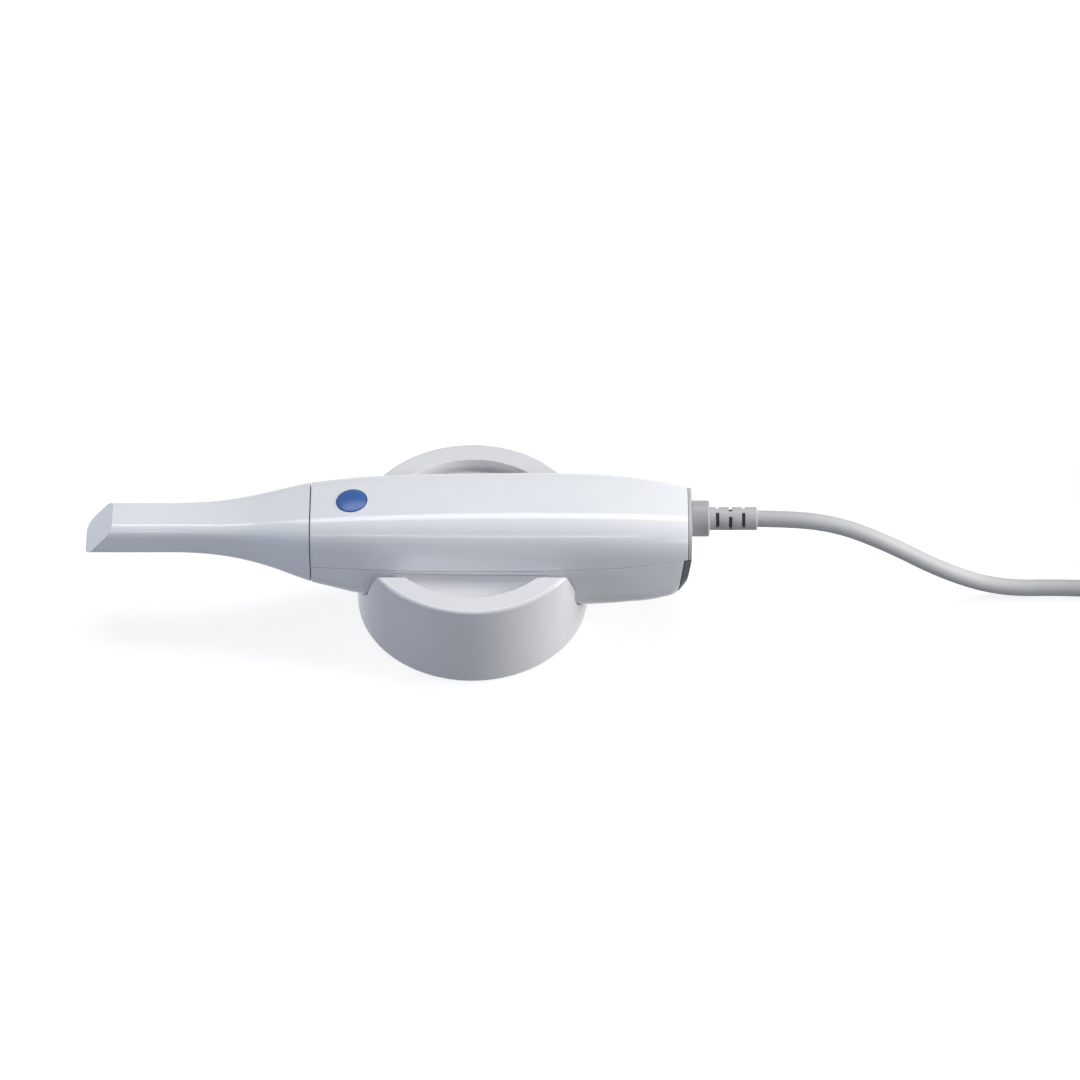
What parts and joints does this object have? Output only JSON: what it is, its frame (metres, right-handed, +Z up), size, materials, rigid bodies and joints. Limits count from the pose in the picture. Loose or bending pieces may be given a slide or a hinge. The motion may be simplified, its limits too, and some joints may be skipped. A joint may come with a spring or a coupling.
{
  "type": "intraoral scanner",
  "caption": "Handheld dental scanner with a pull-off mirror tip, press button, rear vent and cable with a plug, lying in its round desk cradle.",
  "frame": {"origin": "centre of the cradle's foot, on the table", "axes": "+X along the scanner from its tip to its cable, +Y to its side, +Z up"},
  "size_m": [0.5252, 0.1433, 0.0609],
  "materials": {
    "white_plastic": "satin white",
    "cradle_plastic": "matte white",
    "dark_plastic": "matte",
    "grey_plastic": "satin",
    "blue_plastic": "satin blue",
    "grey_rubber": "soft matte",
    "black_rubber": "matte",
    "black_fabric": "woven",
    "circuit_board": "solder mask",
    "aluminium": "machined",
    "black_metal": "black anodised",
    "spring_steel": "bright",
    "plated_steel": "nickel plated",
    "glass": "clear",
    "mirror": "first-surface mirror"
  },
  "bodies": {
    "handpiece": {"nose_tube": "dark_plastic", "front_window": "glass", "seal_ring": "black_rubber", "tip_latches": "spring_steel", "upper_shell": "white_plastic", "lower_shell": "white_plastic", "rear_plate": "white_plastic", "rear_vent": "dark_plastic", "tact_switch": "dark_plastic", "button_board": "circuit_board", "optical_bench": "aluminium", "projector_lens": "black_metal", "camera_lens": "black_metal", "projector_engine": "black_metal", "image_sensor": "circuit_board", "main_board": "circuit_board", "board_chips": "dark_plastic", "board_screws": "spring_steel", "board_lead": "black_rubber", "heat_sink": "aluminium", "fan_frame": "dark_plastic", "shell_screws": "spring_steel", "cable_collar": "grey_plastic", "collar_nut": "spring_steel", "strain_relief": "grey_rubber", "cable": "grey_rubber", "cable_coil": "grey_rubber", "cable_tail": "grey_rubber", "cable_tie": "black_fabric", "plug_body": "grey_plastic", "plug_shell": "plated_steel", "plug_tongue": "white_plastic", "cradle": "cradle_plastic", "cradle_base": "cradle_plastic", "cradle_screws": "spring_steel", "cradle_pad": "grey_rubber"},
    "tip": {"tip_sleeve": "white_plastic", "tip_mirror": "mirror"},
    "button": {"scan_button": "blue_plastic"},
    "fan": {"fan_rotor": "dark_plastic"}
  },
  "joints": [
    {"name": "tip_pull", "type": "slide", "parent": "handpiece", "child": "tip", "axis": [-1, 0, 0], "range_m": [0, 0.05]},
    {"name": "button_press", "type": "slide", "parent": "handpiece", "child": "button", "axis": [0.0837, 0, -0.9965], "range_m": [0, 0.0006], "stiffness_N_per_m": 800},
    {"name": "fan_spin", "type": "hinge", "parent": "handpiece", "child": "fan", "pos_m": [0.08, 0, 0.0274], "axis": [1, 0, 0], "continuous": true}
  ]
}
